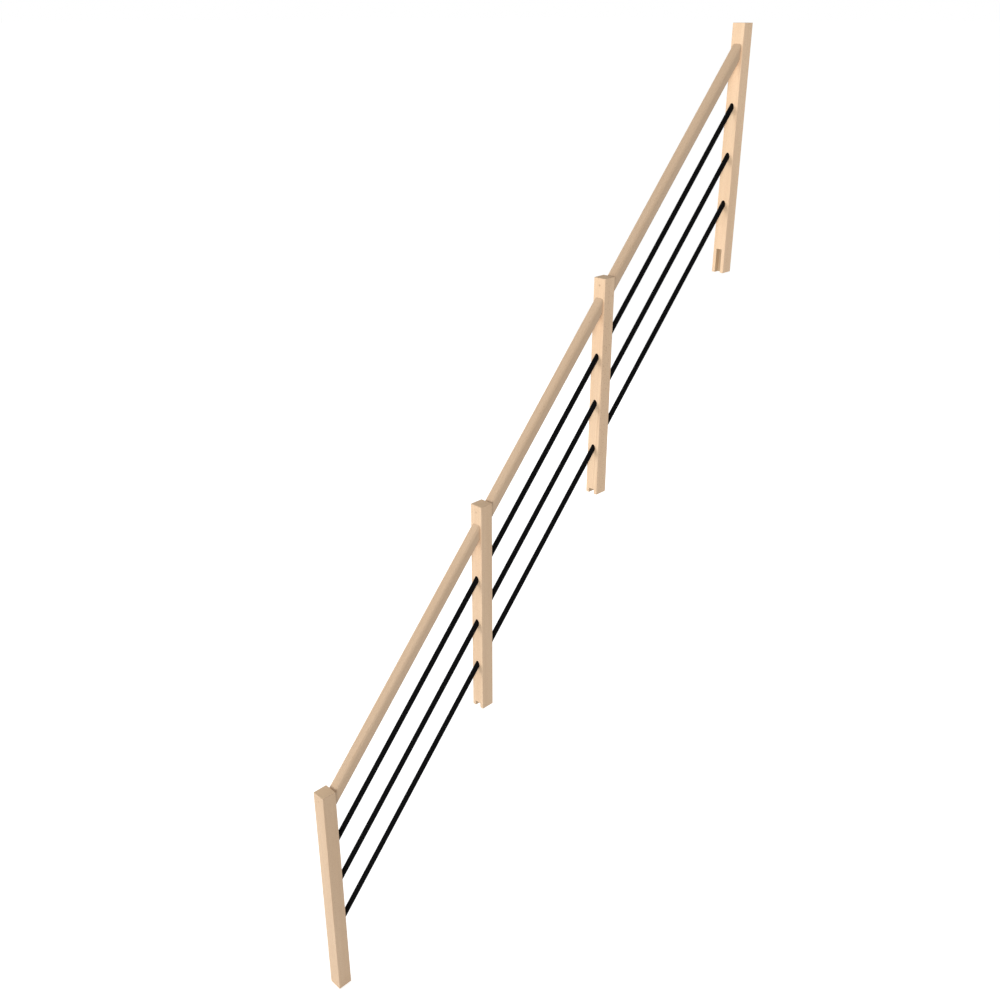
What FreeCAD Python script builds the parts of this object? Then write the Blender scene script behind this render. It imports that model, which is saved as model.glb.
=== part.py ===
import FreeCAD, Part
import os
import Sketcher

# Stair balustrade panel. Four square timber posts climb a straight stair, a rounded timber
# handrail runs from post to post and three steel bars fill each bay below it.
# +X points up the stair, +Y across it and +Z up. The origin is the centre of the bottom
# post's foot. Lengths are in millimetres and angles in degrees.

SIZES = {
    # The stair: its slope, and the plan distance between the centres of neighbouring posts.
    "pitch": 48,
    "outer_bay": 844,
    "middle_bay": 706.5,
    # The posts, with lightly chamfered arrises. Their tops stand on one pitched line.
    "post_side": 60,
    "post_arris": 1.2,
    "bottom_post_length": 1009,
    "top_post_length": 1049,
    # The slots in the feet that take the board at the stair's side, the string. A middle post
    # straddles the string and laps below its pitched top edge. An end post has a blind housing.
    "slot_width": 28,
    "string_drop": 902.5,
    "middle_post_lap": 55,
    "housing_height": 107,
    "housing_depth": 25,
    # The handrail: square with rounded edges, its centre line below the line of the post tops.
    "rail_side": 45,
    "rail_round": 10,
    "rail_drop": 81,
    # The steel tubes, and the blind sockets that hold their ends.
    "bar_diameter": 22,
    "bar_wall": 1.5,
    "bar_drop": 300,
    "bar_step": 204.5,
    "socket_depth": 30,
    "socket_clearance": 0.25,
    # The holes for the screws that draw a handrail's ends against the posts.
    "screw_offset": 18,
    "screw_head_bore": 9,
    "screw_head_depth": 12,
    "screw_bore": 5,
    # The turned plugs that close the head bores, from the screw's head to just under the face.
    "screw_head_height": 3.6,
    "plug_clearance": 0.2,
    "plug_sink": 0.4,
    "plug_arris": 0.5,
    # How far the outline of a cut stands clear of the timber that it cuts.
    "cut_overrun": 5,
}

BAR_ROWS = ["top", "middle", "bottom"]
FACES = {1: "uphill", -1: "downhill"}

doc = FreeCAD.newDocument("stair_balustrade_panel")
sheet = doc.addObject("Spreadsheet::Sheet", "Sizes")
for row, (alias, number) in enumerate(SIZES.items(), start=1):
    sheet.set(f"A{row}", alias)
    sheet.set(f"B{row}", str(number))
    sheet.setAlias(f"B{row}", alias)
doc.recompute()

# Formulas that several pieces share, written with the sheet's own names.
HALF_POST = "(Sizes.post_side / 2)"
SLOPE = "tan(Sizes.pitch)"
OUTSIDE = f"({HALF_POST} + Sizes.cut_overrun)"
BOTTOM_LENGTH = "Sizes.bottom_post_length"
MIDDLE_LENGTH = "(Sizes.string_drop + Sizes.middle_post_lap)"
TOP_LENGTH = "Sizes.top_post_length"
POST_PLACES = [
    "0",
    "Sizes.outer_bay",
    "(Sizes.outer_bay + Sizes.middle_bay)",
    "(2 * Sizes.outer_bay + Sizes.middle_bay)",
]


def height_on_pitch(place):
    """Height of the line of post tops at a plan distance up the stair."""
    return f"({BOTTOM_LENGTH} + {place} * {SLOPE})"


def set_place(piece, along, height):
    piece.setExpression("Placement.Base.x", along)
    piece.setExpression("Placement.Base.z", height)


def new_sketch(body, name, role):
    """An empty sketch on one of the body's own origin planes."""
    sketch = body.newObject("Sketcher::SketchObject", name)
    plane = next(item for item in body.Origin.OriginFeatures if item.Role == role)
    sketch.AttachmentSupport = (plane, [""])
    sketch.MapMode = "FlatFace"
    return sketch


def bind_point(sketch, geometry, end, across, up):
    """Hold one point of a sketch at two formulas, measured from the sketch's origin."""
    for kind, formula in (("DistanceX", across), ("DistanceY", up)):
        number = float(sketch.evalExpression(formula))
        index = sketch.addConstraint(Sketcher.Constraint(kind, -1, 1, geometry, end, number))
        sketch.setExpression(f"Constraints[{index}]", formula)


def draw_outline(sketch, corners):
    """A closed outline of straight lines through corners that are given as formulas."""
    points = [
        FreeCAD.Vector(float(sketch.evalExpression(across)), float(sketch.evalExpression(up)), 0)
        for across, up in corners
    ]
    lines = [
        sketch.addGeometry(Part.LineSegment(point, points[(index + 1) % len(points)]), False)
        for index, point in enumerate(points)
    ]
    for index, line in enumerate(lines):
        following = lines[(index + 1) % len(lines)]
        sketch.addConstraint(Sketcher.Constraint("Coincident", line, 2, following, 1))
    for line, (across, up) in zip(lines, corners):
        bind_point(sketch, line, 1, across, up)


def draw_circle(sketch, diameter):
    """A circle about the sketch's origin."""
    number = float(sketch.evalExpression(diameter))
    circle = sketch.addGeometry(Part.Circle(FreeCAD.Vector(), FreeCAD.Vector(0, 0, 1), number / 2), False)
    sketch.addConstraint(Sketcher.Constraint("Coincident", circle, 3, -1, 1))
    index = sketch.addConstraint(Sketcher.Constraint("Diameter", circle, number))
    sketch.setExpression(f"Constraints[{index}]", diameter)


def turn_profile(body, feature, name, half_profile):
    """A turned solid or round hole, from the half of its outline that starts with its axis."""
    sketch = new_sketch(body, f"{name}_outline", "XZ_Plane")
    draw_outline(sketch, half_profile)
    turned = body.newObject(feature, name)
    turned.Profile = sketch
    turned.ReferenceAxis = (sketch, ["Edge1"])
    turned.Angle = 360
    return turned


def straddling_slot():
    """Side view of a middle post's slot, right through the foot, its top along the pitch."""
    below_foot = f"(-{MIDDLE_LENGTH} - Sizes.post_side)"
    return [
        (f"-{OUTSIDE}", below_foot),
        (OUTSIDE, below_foot),
        (OUTSIDE, f"{OUTSIDE} * {SLOPE} - Sizes.string_drop"),
        (f"-{OUTSIDE}", f"-{OUTSIDE} * {SLOPE} - Sizes.string_drop"),
    ]


def end_housing(side, length):
    """Side view of an end post's blind housing in its uphill (1) or downhill (-1) face."""
    below_foot = f"(-{length} - Sizes.cut_overrun)"
    housing_top = f"(-{length} + Sizes.housing_height)"
    back = f"({side} * ({HALF_POST} - Sizes.housing_depth))"
    mouth = f"({side} * {OUTSIDE})"
    return [(back, below_foot), (mouth, below_foot), (mouth, housing_top), (back, housing_top)]


def socket_profile(side):
    """Half outline of the blind socket of the top bar, on the uphill (1) or downhill (-1) face."""
    radius = "(Sizes.bar_diameter / 2 + Sizes.socket_clearance)"
    face = f"({HALF_POST} / cos(Sizes.pitch))"
    distances = [
        f"({side} * ({face} - Sizes.socket_depth))",
        f"({side} * ({face} + {radius} * {SLOPE} + Sizes.cut_overrun))",
    ]
    axis = [
        (f"{far} * cos(Sizes.pitch)", f"{far} * sin(Sizes.pitch) - Sizes.bar_drop")
        for far in distances
    ]
    wall = [
        (f"{across} - {radius} * sin(Sizes.pitch)", f"{up} + {radius} * cos(Sizes.pitch)")
        for across, up in axis
    ]
    return [axis[0], axis[1], wall[1], wall[0]]


def screw_level(side):
    """Height of the screw whose head is on the given face, measured from the post's top.

    The rail stands on the opposite face. The screw keeps to the side of the rail's centre
    line where it runs furthest before it would leave the sloping rail.
    """
    return f"(-Sizes.rail_drop - {side} * ({HALF_POST} * {SLOPE} + Sizes.screw_offset))"


def screw_profile(side):
    """Half outline of a level screw hole: head bore on the given face, shank through the post."""
    level = screw_level(side)
    outside = f"{side} * {OUTSIDE}"
    far_side = f"{-side} * {OUTSIDE}"
    shoulder = f"{side} * ({HALF_POST} - Sizes.screw_head_depth)"
    shank = f"{level} + Sizes.screw_bore / 2"
    head = f"{level} + Sizes.screw_head_bore / 2"
    return [
        (far_side, level),
        (outside, level),
        (outside, head),
        (shoulder, head),
        (shoulder, shank),
        (far_side, shank),
    ]


def plug_profile(side):
    """Half outline of the plug in a screw's head bore, its outer edge chamfered."""
    level = screw_level(side)
    outer = f"{side} * ({HALF_POST} - Sizes.plug_sink)"
    chamfered = f"{side} * ({HALF_POST} - Sizes.plug_sink - Sizes.plug_arris)"
    inner = f"{side} * ({HALF_POST} - Sizes.screw_head_depth + Sizes.screw_head_height)"
    rim = f"{level} + Sizes.screw_head_bore / 2 - Sizes.plug_clearance"
    return [
        (inner, level),
        (outer, level),
        (outer, f"{rim} - Sizes.plug_arris"),
        (chamfered, rim),
        (inner, rim),
    ]


def make_post(name, place, length, slot_corners, bar_sides, screw_sides):
    """A square post hung from the centre of its top, with its slot, sockets and screw holes."""
    body = doc.addObject("PartDesign::Body", name)
    set_place(body, place, height_on_pitch(place))

    section = new_sketch(body, f"{name}_section", "XY_Plane")
    draw_outline(section, [
        (f"-{HALF_POST}", f"-{HALF_POST}"),
        (HALF_POST, f"-{HALF_POST}"),
        (HALF_POST, HALF_POST),
        (f"-{HALF_POST}", HALF_POST),
    ])
    shaft = body.newObject("PartDesign::Pad", f"{name}_shaft")
    shaft.Profile = section
    shaft.Reversed = True
    shaft.setExpression("Length", length)
    doc.recompute()

    eased = body.newObject("PartDesign::Chamfer", f"{name}_eased")
    eased.Base = (shaft, [f"Edge{number}" for number in range(1, len(shaft.Shape.Edges) + 1)])
    eased.setExpression("Size", "Sizes.post_arris")
    doc.recompute()
    uncut_volume = body.Shape.Volume

    slot_outline = new_sketch(body, f"{name}_slot_outline", "XZ_Plane")
    draw_outline(slot_outline, slot_corners)
    slot = body.newObject("PartDesign::Pocket", f"{name}_slot")
    slot.Profile = slot_outline
    slot.SideType = "Symmetric"
    slot.setExpression("Length", "Sizes.slot_width")
    doc.recompute()
    slotted_volume = body.Shape.Volume
    if slotted_volume >= uncut_volume:
        raise RuntimeError(f"{name}: the slot cut nothing")

    sockets = [
        turn_profile(body, "PartDesign::Groove", f"{name}_{FACES[side]}_socket", socket_profile(side))
        for side in bar_sides
    ]
    rows = body.newObject("PartDesign::LinearPattern", f"{name}_socket_rows")
    rows.Originals = sockets
    upright = next(item for item in body.Origin.OriginFeatures if item.Role == "Z_Axis")
    rows.Direction = (upright, [""])
    rows.Reversed = True
    rows.Mode = "Extent"
    rows.Occurrences = len(BAR_ROWS)
    rows.setExpression("Length", f"{len(BAR_ROWS) - 1} * Sizes.bar_step")
    body.Tip = rows
    doc.recompute()
    if body.Shape.Volume >= slotted_volume:
        raise RuntimeError(f"{name}: the sockets cut nothing")

    for side in screw_sides:
        hole_name = f"{name}_{FACES[side]}_screw_hole"
        body.Tip = turn_profile(body, "PartDesign::Groove", hole_name, screw_profile(side))
    doc.recompute()
    return body


def make_plug(name, place, side):
    """A plug turned in place, in a body that hangs from the same point as its post."""
    body = doc.addObject("PartDesign::Body", name)
    set_place(body, place, height_on_pitch(place))
    turn_profile(body, "PartDesign::Revolution", f"{name}_turned", plug_profile(side))
    doc.recompute()
    return body


def make_handrail(name, lower_post, bay):
    """A handrail cut plumb at both ends, its four long edges rounded, between two post faces."""
    body = doc.addObject("PartDesign::Body", name)
    middle = f"({lower_post} + {bay} / 2)"
    set_place(body, middle, f"{height_on_pitch(middle)} - Sizes.rail_drop")

    half_run = f"({bay} / 2 - {HALF_POST})"
    half_rise = f"({half_run} * {SLOPE})"
    half_plumb = "(Sizes.rail_side / 2 / cos(Sizes.pitch))"
    side_view = new_sketch(body, f"{name}_side_view", "XZ_Plane")
    draw_outline(side_view, [
        (f"-{half_run}", f"-{half_rise} - {half_plumb}"),
        (half_run, f"{half_rise} - {half_plumb}"),
        (half_run, f"{half_rise} + {half_plumb}"),
        (f"-{half_run}", f"-{half_rise} + {half_plumb}"),
    ])
    blank = body.newObject("PartDesign::Pad", f"{name}_blank")
    blank.Profile = side_view
    blank.SideType = "Symmetric"
    blank.setExpression("Length", "Sizes.rail_side")
    doc.recompute()

    pitched_edges = [
        f"Edge{number}"
        for number, edge in enumerate(blank.Shape.Edges, start=1)
        if abs(edge.Vertexes[0].X - edge.Vertexes[-1].X) > Part.Precision.confusion()
    ]
    rounded = body.newObject("PartDesign::Fillet", f"{name}_rounded")
    rounded.Base = (blank, pitched_edges)
    rounded.setExpression("Radius", "Sizes.rail_round")
    doc.recompute()
    return body


def make_bar(name, lower_post, bay, row):
    """A steel tube along the pitch, its two ends in the sockets of the posts."""
    body = doc.addObject("PartDesign::Body", name)
    body.Placement.Rotation = FreeCAD.Rotation(FreeCAD.Vector(0, 1, 0), 90 - SIZES["pitch"])
    body.setExpression("Placement.Rotation.Angle", "90 - Sizes.pitch")
    middle = f"({lower_post} + {bay} / 2)"
    drop = f"Sizes.bar_drop - {row} * Sizes.bar_step"
    set_place(body, middle, f"{height_on_pitch(middle)} - {drop}")

    section = new_sketch(body, f"{name}_section", "XY_Plane")
    draw_circle(section, "Sizes.bar_diameter")
    draw_circle(section, "Sizes.bar_diameter - 2 * Sizes.bar_wall")
    tube = body.newObject("PartDesign::Pad", f"{name}_tube")
    tube.Profile = section
    tube.SideType = "Symmetric"
    clear_run = f"({bay} - Sizes.post_side) / cos(Sizes.pitch)"
    end_play = "2 * Sizes.socket_clearance"
    tube.setExpression("Length", f"{clear_run} + 2 * Sizes.socket_depth - {end_play}")
    doc.recompute()
    return body


# The string ends in the housings of the end posts, and the middle posts straddle it. The last
# two lists hold the faces with bar sockets and with screw heads: 1 for uphill, -1 for downhill.
POSTS = {
    "bottom_post": (POST_PLACES[0], BOTTOM_LENGTH, end_housing(1, BOTTOM_LENGTH), [1], [-1]),
    "lower_middle_post": (POST_PLACES[1], MIDDLE_LENGTH, straddling_slot(), [1, -1], [-1, 1]),
    "upper_middle_post": (POST_PLACES[2], MIDDLE_LENGTH, straddling_slot(), [1, -1], [-1, 1]),
    "top_post": (POST_PLACES[3], TOP_LENGTH, end_housing(-1, TOP_LENGTH), [-1], [1]),
}
nodes = []
for name, (place, length, slot_corners, bar_sides, screw_sides) in POSTS.items():
    nodes.append(make_post(name, place, length, slot_corners, bar_sides, screw_sides))
    for side in screw_sides:
        nodes.append(make_plug(f"{name}_{FACES[side]}_plug", place, side))

BAYS = {
    "lower": (POST_PLACES[0], "Sizes.outer_bay"),
    "middle": (POST_PLACES[1], "Sizes.middle_bay"),
    "upper": (POST_PLACES[2], "Sizes.outer_bay"),
}
for bay_name, (lower_post, bay) in BAYS.items():
    nodes.append(make_handrail(f"{bay_name}_handrail", lower_post, bay))
    for row, row_name in enumerate(BAR_ROWS):
        nodes.append(make_bar(f"{bay_name}_bay_{row_name}_bar", lower_post, bay, row))

doc.recompute()
for item in doc.Objects:
    if "Invalid" in item.State or "Error" in item.State:
        raise RuntimeError(f"{item.Label} failed: {item.State}")
for node in nodes:
    if node.Shape.isNull() or not node.Shape.isValid():
        raise RuntimeError(f"{node.Label} has no valid shape")
    if len(node.Shape.Solids) != 1:
        raise RuntimeError(f"{node.Label} is not one solid")

os.makedirs("parts", exist_ok=True)
for node in nodes:
    node.Shape.exportStep(f"parts/{node.Label}.step")
    print(f"{node.Label}: {node.Shape.Volume:.0f} cubic millimetres")
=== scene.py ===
import math

import bmesh
import bpy
from mathutils import Matrix, Vector


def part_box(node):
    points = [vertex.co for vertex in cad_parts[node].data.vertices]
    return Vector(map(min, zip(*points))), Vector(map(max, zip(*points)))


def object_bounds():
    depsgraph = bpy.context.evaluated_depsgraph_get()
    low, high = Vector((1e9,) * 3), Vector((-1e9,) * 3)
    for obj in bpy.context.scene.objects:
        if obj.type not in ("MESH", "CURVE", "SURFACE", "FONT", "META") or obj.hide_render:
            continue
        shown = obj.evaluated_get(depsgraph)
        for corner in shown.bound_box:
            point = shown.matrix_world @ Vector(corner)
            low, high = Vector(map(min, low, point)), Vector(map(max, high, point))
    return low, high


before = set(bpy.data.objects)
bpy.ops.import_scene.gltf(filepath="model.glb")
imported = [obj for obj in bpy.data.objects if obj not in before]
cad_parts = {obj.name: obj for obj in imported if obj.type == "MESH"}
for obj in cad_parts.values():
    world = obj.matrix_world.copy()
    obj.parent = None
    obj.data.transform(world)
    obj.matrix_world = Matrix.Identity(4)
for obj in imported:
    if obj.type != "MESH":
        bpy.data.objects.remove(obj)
cad_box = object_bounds()

# Posts: four square lengths of solid beech, planed, with chamfered arrises, each from a board of its own.
# They stand plumb and carry the handrails and bars between them, and a thin clear satin coat seals them.
# The slots, sockets and screw holes are cut after that coat, so the wood inside them is bare and dull, and
# its colour there is darkened as painted shade.
POST_EARLY_WOOD = (236, 206, 173)
POST_LATE_WOOD = (219, 184, 148)
POST_BOARDS_AND_LIGHT = {
    # post: pith of the log beside the post's axis, lean of the grain, tone of the faces, tone of the ends;
    # both tones are painted light, with the faces lighter up the stair and the tops lighter down it, as the
    # light falls on them
    "bottom_post": ((0.075, 0.048), 0.8, 0.96, 1.12),
    "lower_middle_post": ((-0.062, 0.081), -0.6, 1.0, 1.08),
    "upper_middle_post": ((0.091, -0.035), 0.5, 1.03, 0.96),
    "top_post": ((-0.085, -0.052), -0.9, 1.055, 0.92),
}
# Year rings: sizes in metres, then where in a ring the darker late wood starts and is full,
# and how strong it is in the poorest and in the best year.
RING_WIDTH = 0.0026
RING_UNEVEN = 0.0024
UNEVEN_SPAN = 0.011
GRAIN_SWAY = 0.014
SWAY_SIZE = (0.12, 0.12, 1.0)
LATE_WOOD_STARTS = 0.4
LATE_WOOD_FULL = 0.94
LATE_WOOD_STRENGTH = (0.25, 0.8)
# Blots of tone, rays and fibres: size in metres out from the pith, round it and up the trunk.
# A range is the part of the noise that shows, and a share is how much of the colour it takes.
TONE_SIZE = (0.03, 0.05, 0.6)
TONE_RANGE = (0.3, 0.7)
TONE_SHARE = 0.35
RAY_FLECK = (190, 150, 112)
FLECK_SIZE = (0.011, 0.00055, 0.0042)
FLECK_RANGE = (0.62, 0.74)
FLECK_SHARE = 0.45
FLECK_DENT = -0.6
FIBRE_SIZE = (0.0006, 0.0006, 0.05)
FIBRE_RANGE = (0.45, 0.8)
FIBRE_SHARE = 0.3
FIBRE_RELIEF = 0.0001
RELIEF_STRENGTH = 0.35
# The coat, the sawn ends that soak it up, and the bare wood from just under the coated faces, whose darker
# colour is painted shade.
SATIN_ROUGHNESS = (0.46, 0.6)
SATIN_RANGE = (0.25, 0.75)
WOOD_GLOSS = 0.35
COAT_WEIGHT = 0.06
COAT_ROUGHNESS = 0.4
END_GRAIN = (226, 197, 163)
END_FACING = (0.8, 0.97)
END_SHARE = 0.5
END_ROUGHNESS = 0.85
BARE_WOOD_SHADE = (200, 178, 148)
BARE_SHADE_BELOW = (0.0007, 0.0015)
BARE_SHADE_SHARE = 0.85
BARE_ROUGHNESS = 0.9


def paint(colour, tone=1.0):
    """A colour from a 0 to 255 chart, made a little lighter or darker, as the linear light shaders mix."""
    levels = [min(level / 255 * tone, 1.0) for level in colour]
    linear = [x / 12.92 if x <= 0.04045 else ((x + 0.055) / 1.055) ** 2.4 for x in levels]
    return (*linear, 1.0)


def wire(tree, kind, inputs, output=0, **settings):
    """Adds a shader node, sets or joins its inputs by name or number, and gives back one output socket."""
    node = tree.nodes.new(kind)
    for setting, value in settings.items():
        setattr(node, setting, value)
    for socket, value in inputs.items():
        if isinstance(value, bpy.types.NodeSocket):
            tree.links.new(value, node.inputs[socket])
        else:
            node.inputs[socket].default_value = value
    return node.outputs[output]


def reckon(tree, operation, first, *others):
    """One step of arithmetic on numbers that vary over the surface."""
    return wire(tree, "ShaderNodeMath", dict(enumerate((first, *others))), operation=operation)


def blots(tree, place, size, detail=0.0):
    """Noise whose blots have this size in metres along the three axes of the place that it is given."""
    spaced = wire(tree, "ShaderNodeVectorMath", {0: place, 1: [1 / s for s in size]}, operation="MULTIPLY")
    return wire(tree, "ShaderNodeTexNoise", {"Vector": spaced, "Scale": 1.0, "Detail": detail})


def span(tree, value, low, high, to_low=0.0, to_high=1.0):
    """Stretches the part of a value between low and high to another range, with smooth ends."""
    limits = {"From Min": low, "From Max": high, "To Min": to_low, "To Max": to_high}
    return wire(tree, "ShaderNodeMapRange", {"Value": value, **limits}, interpolation_type="SMOOTHSTEP")


def blend(tree, share, first, second):
    """A colour that goes from the first to the second as the share goes from 0 to 1."""
    colours = {"Factor": share, 6: first, 7: second}
    return wire(tree, "ShaderNodeMix", colours, output=2, data_type="RGBA")


def year_rings(tree, log, radius):
    """The share of late wood: it grows over each ring, ends sharply, and is stronger in some years."""
    swayed = reckon(tree, "MULTIPLY_ADD", blots(tree, log, SWAY_SIZE), GRAIN_SWAY, radius)
    outward = {"W": reckon(tree, "DIVIDE", swayed, UNEVEN_SPAN), "Scale": 1.0, "Detail": 0.0}
    uneven = wire(tree, "ShaderNodeTexNoise", outward, noise_dimensions="1D")
    grown = reckon(tree, "MULTIPLY_ADD", uneven, RING_UNEVEN, swayed)
    years = reckon(tree, "DIVIDE", grown, RING_WIDTH)
    season = reckon(tree, "FRACT", years)
    summer = span(tree, season, LATE_WOOD_STARTS, LATE_WOOD_FULL)
    winter = span(tree, season, LATE_WOOD_FULL, 1.0, 1.0, 0.0)
    year = {"W": reckon(tree, "FLOOR", years)}
    weather = wire(tree, "ShaderNodeTexWhiteNoise", year, noise_dimensions="1D")
    strength = span(tree, weather, 0.0, 1.0, *LATE_WOOD_STRENGTH)
    return reckon(tree, "MULTIPLY", reckon(tree, "MULTIPLY", summer, winter), strength)


def beech(name, middle, grain, pith, early_wood, late_wood, tone, end_tone_and_light=1.0):
    """Solid beech: rings round a pith beside the piece, rays out from it, fibres along it, and end grain.
    The grain's Z axis runs up the trunk, and the pith lies at an X and Y from the middle of the piece."""
    material = bpy.data.materials.new(name)
    material.use_nodes = True
    tree = material.node_tree
    surface = tree.nodes["Principled BSDF"]
    piece = tree.nodes.new("ShaderNodeTexCoord")

    log_axes = grain @ Matrix.Rotation(math.atan2(-pith[1], -pith[0]), 3, "Z")
    set_in_log = {
        "Vector": piece.outputs["Object"],
        "Location": middle + grain @ Vector((*pith, 0)),
        "Rotation": log_axes.to_euler(),
    }
    log = wire(tree, "ShaderNodeMapping", set_in_log, vector_type="TEXTURE")
    sides = tree.nodes.new("ShaderNodeSeparateXYZ")
    tree.links.new(log, sides.inputs["Vector"])
    across, aside, up = sides.outputs
    level = wire(tree, "ShaderNodeVectorMath", {0: log, 1: (1, 1, 0)}, operation="MULTIPLY")
    radius = wire(tree, "ShaderNodeVectorMath", {0: level}, output="Value", operation="LENGTH")
    girth = reckon(tree, "MULTIPLY", reckon(tree, "ARCTAN2", aside, across), math.hypot(*pith))
    in_wood = wire(tree, "ShaderNodeCombineXYZ", {"X": radius, "Y": girth, "Z": up})

    ring = year_rings(tree, log, radius)
    patch = span(tree, blots(tree, in_wood, TONE_SIZE, detail=1.0), *TONE_RANGE)
    fleck = span(tree, blots(tree, in_wood, FLECK_SIZE), *FLECK_RANGE)
    fibre = blots(tree, in_wood, FIBRE_SIZE, detail=2.0)
    up_the_trunk = {0: piece.outputs["Normal"], 1: log_axes.col[2]}
    facing = wire(tree, "ShaderNodeVectorMath", up_the_trunk, output="Value", operation="DOT_PRODUCT")
    end = span(tree, reckon(tree, "ABSOLUTE", facing), *END_FACING)

    # On the posts and rails the tone is painted light and shade: each piece is made lighter or darker by
    # how the light falls on it.
    early = paint(early_wood, tone)
    late = paint(late_wood, tone)
    colour = blend(tree, ring, early, late)
    colour = blend(tree, reckon(tree, "MULTIPLY", patch, TONE_SHARE), colour, late)
    colour = blend(tree, reckon(tree, "MULTIPLY", fleck, FLECK_SHARE), colour, paint(RAY_FLECK, tone))
    colour = blend(tree, span(tree, fibre, *FIBRE_RANGE, 0.0, FIBRE_SHARE), colour, late)
    # The end tone is painted light on the posts' tops; on the plugs it is their own darker end grain.
    colour = blend(tree, reckon(tree, "MULTIPLY", end, END_SHARE), colour, paint(END_GRAIN, end_tone_and_light))
    tree.links.new(colour, surface.inputs["Base Color"])

    satin = span(tree, fibre, *SATIN_RANGE, *SATIN_ROUGHNESS)
    rough = reckon(tree, "MAXIMUM", satin, reckon(tree, "MULTIPLY", end, END_ROUGHNESS))
    tree.links.new(rough, surface.inputs["Roughness"])
    surface.inputs["Specular IOR Level"].default_value = WOOD_GLOSS
    surface.inputs["Coat Weight"].default_value = COAT_WEIGHT
    surface.inputs["Coat Roughness"].default_value = COAT_ROUGHNESS

    height = reckon(tree, "MULTIPLY_ADD", fleck, FLECK_DENT, fibre)
    relief = {"Height": height, "Strength": RELIEF_STRENGTH, "Distance": FIBRE_RELIEF}
    tree.links.new(wire(tree, "ShaderNodeBump", relief), surface.inputs["Normal"])
    return material


def bare_and_shaded_inside(material, low, high):
    """Takes the coat off whatever lies deeper than the skin of a squared piece that fills this box, and
    darkens it there as painted shade.
    """
    tree = material.node_tree
    surface = tree.nodes["Principled BSDF"]
    place = tree.nodes.new("ShaderNodeTexCoord").outputs["Object"]
    offset = wire(tree, "ShaderNodeVectorMath", {0: place, 1: (low + high) / 2}, operation="SUBTRACT")
    offset = wire(tree, "ShaderNodeVectorMath", {0: offset}, operation="ABSOLUTE")
    under_faces = {0: (high - low) / 2, 1: offset}
    under_faces = wire(tree, "ShaderNodeVectorMath", under_faces, operation="SUBTRACT")
    depths = tree.nodes.new("ShaderNodeSeparateXYZ")
    tree.links.new(under_faces, depths.inputs["Vector"])
    depth = reckon(tree, "MINIMUM", reckon(tree, "MINIMUM", *depths.outputs[:2]), depths.outputs[2])
    inside_bare_and_shaded = span(tree, depth, *BARE_SHADE_BELOW)

    # Painted shade: deeper than the coated skin the colour is darkened; only the dull roughness is the bare
    # wood's own.
    coated = surface.inputs["Base Color"].links[0].from_socket
    bare_shaded_colour = blend(tree, reckon(tree, "MULTIPLY", inside_bare_and_shaded, BARE_SHADE_SHARE), coated, paint(BARE_WOOD_SHADE))
    tree.links.new(bare_shaded_colour, surface.inputs["Base Color"])
    satin = surface.inputs["Roughness"].links[0].from_socket
    rough = reckon(tree, "MAXIMUM", satin, reckon(tree, "MULTIPLY", inside_bare_and_shaded, BARE_ROUGHNESS))
    tree.links.new(rough, surface.inputs["Roughness"])


for post, (pith, lean, tone, end_tone_and_light) in POST_BOARDS_AND_LIGHT.items():
    low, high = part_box(post)
    foot = Vector(((low.x + high.x) / 2, (low.y + high.y) / 2, low.z))
    grain = Matrix.Rotation(math.radians(lean), 3, "Y")
    post_beech = beech(post + "_beech", foot, grain, pith, POST_EARLY_WOOD, POST_LATE_WOOD, tone, end_tone_and_light)
    bare_and_shaded_inside(post_beech, low, high)
    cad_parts[post].material_slots[0].material = post_beech

# Handrails: one square length of the same beech in each bay, its long edges rounded over for the hand.
# The ends are sawn plumb, so that they butt flat on the posts, and screws through the posts draw them up.
# The grain runs up the pitch of the stair.
# Painted shade: the rails' beech is a little darker than the posts', standing in for the dimmer light on
# their tops.
RAIL_EARLY_WOOD_SHADED = (222, 194, 164)
RAIL_LATE_WOOD_SHADED = (205, 174, 141)
RAIL_BOARDS_AND_SHADE = {
    # rail: pith of the log beside the rail's middle, tone, which is painted shade that darkens the rails
    # bay by bay up the stair
    "lower_handrail": ((0.07, 0.03), 1.0),
    "middle_handrail": ((-0.05, 0.06), 0.995),
    "upper_handrail": ((0.04, -0.08), 0.985),
}
bottom_post_top, top_post_top = [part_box(post)[1] for post in ("bottom_post", "top_post")]
pitch = math.atan2(top_post_top.z - bottom_post_top.z, top_post_top.x - bottom_post_top.x)
up_the_pitch = Matrix.Rotation(math.pi / 2 - pitch, 3, "Y")

for rail, (pith, tone) in RAIL_BOARDS_AND_SHADE.items():
    low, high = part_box(rail)
    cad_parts[rail].material_slots[0].material = beech(
        rail + "_beech", (low + high) / 2, up_the_pitch, pith, RAIL_EARLY_WOOD_SHADED, RAIL_LATE_WOOD_SHADED, tone)

# Bars: round steel tube, three to a bay, powder-coated satin black.
# Each slips into a blind socket bored at the pitch in the post at either end.
ENAMEL = (7, 7, 8)
ENAMEL_THIN = (11, 11, 12)
ENAMEL_ROUGHNESS = (0.42, 0.54)
ENAMEL_GLOSS = 0.035
CLOUD_SIZE = (0.05, 0.05, 0.05)
CLOUD_RANGE = (0.3, 0.7)
PEEL_SIZE = (0.0016, 0.0016, 0.0016)
PEEL_RELIEF = 0.00006
PEEL_STRENGTH = 0.4

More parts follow.
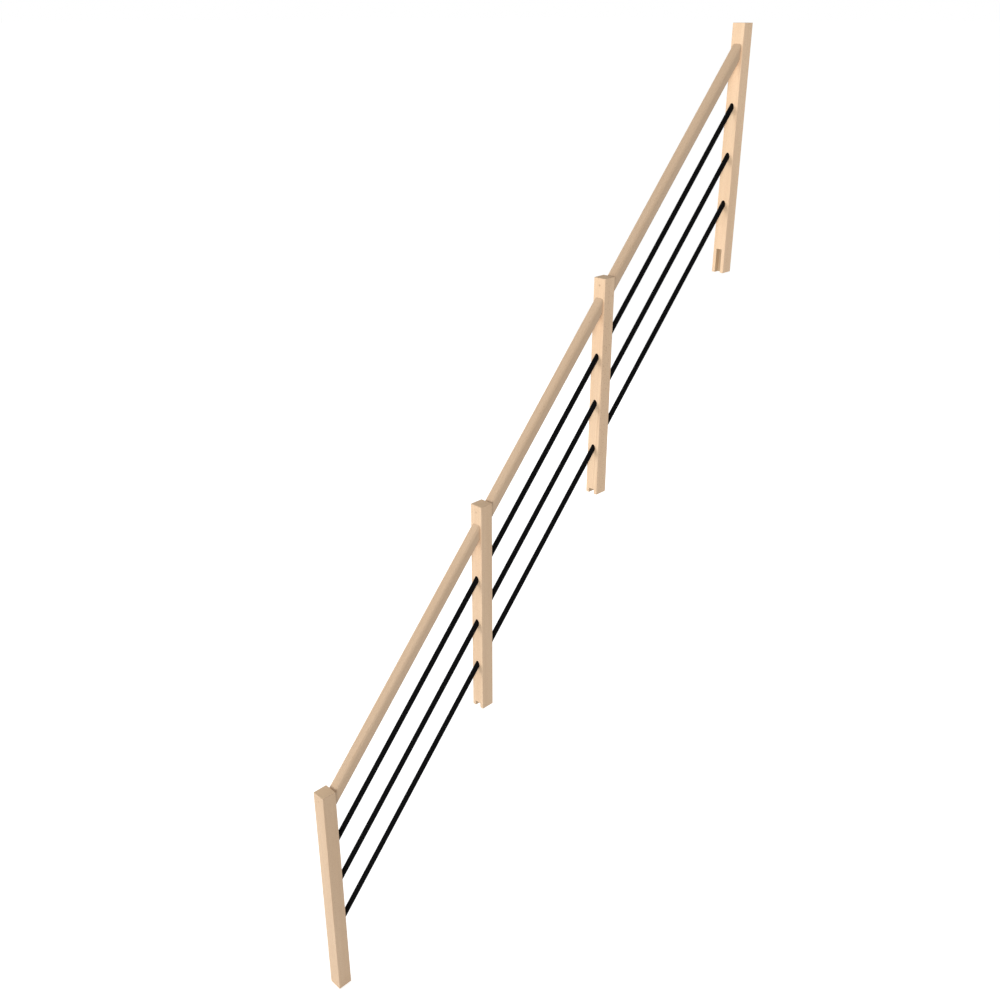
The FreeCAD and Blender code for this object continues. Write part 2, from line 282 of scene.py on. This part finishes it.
enamel = bpy.data.materials.new("black_powder_coat")
enamel.use_nodes = True
tree = enamel.node_tree
surface = tree.nodes["Principled BSDF"]
place = tree.nodes.new("ShaderNodeTexCoord").outputs["Object"]
cloud = blots(tree, place, CLOUD_SIZE, detail=2.0)
black = blend(tree, span(tree, cloud, *CLOUD_RANGE), paint(ENAMEL), paint(ENAMEL_THIN))
tree.links.new(black, surface.inputs["Base Color"])
tree.links.new(span(tree, cloud, *CLOUD_RANGE, *ENAMEL_ROUGHNESS), surface.inputs["Roughness"])
surface.inputs["Specular IOR Level"].default_value = ENAMEL_GLOSS
orange_peel = blots(tree, place, PEEL_SIZE, detail=1.0)
peel_relief = {"Height": orange_peel, "Strength": PEEL_STRENGTH, "Distance": PEEL_RELIEF}
tree.links.new(wire(tree, "ShaderNodeBump", peel_relief), surface.inputs["Normal"])
for name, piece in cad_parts.items():
    if name.endswith("_bar"):
        piece.material_slots[0].material = enamel

# Screw plugs: turned beech dowels glued over the heads of the screws that draw the rails up to the posts.
# Their end grain faces out, a hair under the post's face, and takes the coat a little darker.
PLUG_EARLY_WOOD = (216, 184, 150)
PLUG_LATE_WOOD = (196, 160, 124)
PLUG_PITH = (0.02, 0.03)
PLUG_TONE = 1.0
PLUG_END_TONE = 0.92
along_the_plugs = Matrix.Rotation(math.pi / 2, 3, "Y")

plug_beech = beech(
    "plug_beech", Vector(), along_the_plugs, PLUG_PITH,
    PLUG_EARLY_WOOD, PLUG_LATE_WOOD, PLUG_TONE, PLUG_END_TONE)
for name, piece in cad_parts.items():
    if name.endswith("_plug"):
        piece.material_slots[0].material = plug_beech

# Studio: a plain white floor that runs out of sight, and a white surround.
# What the camera and the reflections see is white; the light that falls on the panel is a plain soft level.
WHITE = (1, 1, 1, 1)
FLOOR_REACH = 400.0
FLOOR_COLOUR = (0.8, 0.8, 0.8, 1)
SEEN_FLOOR_COLOUR = (0.75, 0.75, 0.75, 1)
SEEN_FLOOR_GLOW = 0.68
AMBIENT = 0.43
SEEN_AMBIENT = 1.0

floor_mesh = bmesh.new()
bmesh.ops.create_grid(floor_mesh, x_segments=2, y_segments=2, size=FLOOR_REACH)
floor_data = bpy.data.meshes.new("floor")
floor_mesh.to_mesh(floor_data)
floor_mesh.free()
floor = bpy.data.objects.new("floor", floor_data)
bpy.context.scene.collection.objects.link(floor)


def seen_ray(tree):
    """1 for the rays that show the surround itself: to the camera, in a gloss, or through a clear piece."""
    path = tree.nodes.new("ShaderNodeLightPath").outputs
    camera_or_gloss = reckon(tree, "MAXIMUM", path["Is Camera Ray"], path["Is Glossy Ray"])
    return reckon(tree, "MAXIMUM", camera_or_gloss, path["Is Transmission Ray"])


floor_white = bpy.data.materials.new("floor_white")
floor_white.use_nodes = True
tree = floor_white.node_tree
tree.nodes.remove(tree.nodes["Principled BSDF"])
board = wire(tree, "ShaderNodeBsdfDiffuse", {"Color": FLOOR_COLOUR})
seen_board = wire(tree, "ShaderNodeBsdfDiffuse", {"Color": SEEN_FLOOR_COLOUR})
glow = wire(tree, "ShaderNodeEmission", {"Color": WHITE, "Strength": SEEN_FLOOR_GLOW})
seen = wire(tree, "ShaderNodeAddShader", {0: seen_board, 1: glow})
floor_surface = wire(tree, "ShaderNodeMixShader", {"Fac": seen_ray(tree), 1: board, 2: seen})
tree.links.new(floor_surface, tree.nodes["Material Output"].inputs["Surface"])
floor_data.materials.append(floor_white)

surround = bpy.data.worlds.new("surround")
bpy.context.scene.world = surround
surround.use_nodes = True
tree = surround.node_tree
tree.nodes.remove(tree.nodes["Background"])
soft = wire(tree, "ShaderNodeBackground", {"Color": WHITE, "Strength": AMBIENT})
white = wire(tree, "ShaderNodeBackground", {"Color": WHITE, "Strength": SEEN_AMBIENT})
sky = wire(tree, "ShaderNodeMixShader", {"Fac": seen_ray(tree), 1: soft, 2: white})
tree.links.new(sky, tree.nodes["World Output"].inputs["Surface"])

# Lamps: a soft sun, low down, that stands downhill and a little to the near side of the panel.
# Two soft boxes, one behind the panel and one uphill, keep the other sides from going dull.
SUN_TO_NEAR_SIDE = 30.0
SUN_HEIGHT = 1.0
SUN_SOFTNESS = 20.0
SUN_STRENGTH = 2.3
sun_lamp = bpy.data.lights.new("downhill_sun", "SUN")
sun_lamp.energy = SUN_STRENGTH
sun_lamp.angle = math.radians(SUN_SOFTNESS)
sun = bpy.data.objects.new("downhill_sun", sun_lamp)
sun.rotation_euler = (math.radians(90 - SUN_HEIGHT), 0, math.radians(SUN_TO_NEAR_SIDE - 90))
bpy.context.scene.collection.objects.link(sun)

SOFT_BOXES = {
    # box: place, width, height, watts
    "rear_soft_box": ((-2.3, 4.85, 2.2), 4.0, 3.0, 193),
    "uphill_soft_box": ((8.0, 3.0, 4.0), 4.0, 4.0, 121),
}
middle = (cad_box[0] + cad_box[1]) / 2
for name, (stand, width, height, watts) in SOFT_BOXES.items():
    lamp = bpy.data.lights.new(name, "AREA")
    lamp.shape = "RECTANGLE"
    lamp.size = width
    lamp.size_y = height
    lamp.energy = watts
    box = bpy.data.objects.new(name, lamp)
    box.location = stand
    box.rotation_euler = (middle - box.location).to_track_quat("-Z", "Y").to_euler()
    box.visible_camera = False
    box.visible_glossy = False
    bpy.context.scene.collection.objects.link(box)

# Camera: stands downhill and on the near side of the panel, a little higher than its top, and looks down.
# Its place, angles and lens were worked out from the long edges of the posts in the photograph.
CAMERA_PLACE = (-1.7647, -2.7128, 3.7139)
CAMERA_HEADING = -45.0
CAMERA_DIP = 24.97
CAMERA_LENS = 37.83
CAMERA_SENSOR = 36.0
camera_data = bpy.data.cameras.new("camera")
camera_data.lens = CAMERA_LENS
camera_data.sensor_width = CAMERA_SENSOR
camera = bpy.data.objects.new("camera", camera_data)
camera.location = CAMERA_PLACE
camera.rotation_euler = (math.radians(90 - CAMERA_DIP), 0, math.radians(CAMERA_HEADING))
bpy.context.scene.collection.objects.link(camera)
bpy.context.scene.camera = camera
bpy.context.scene.view_settings.view_transform = "Standard"
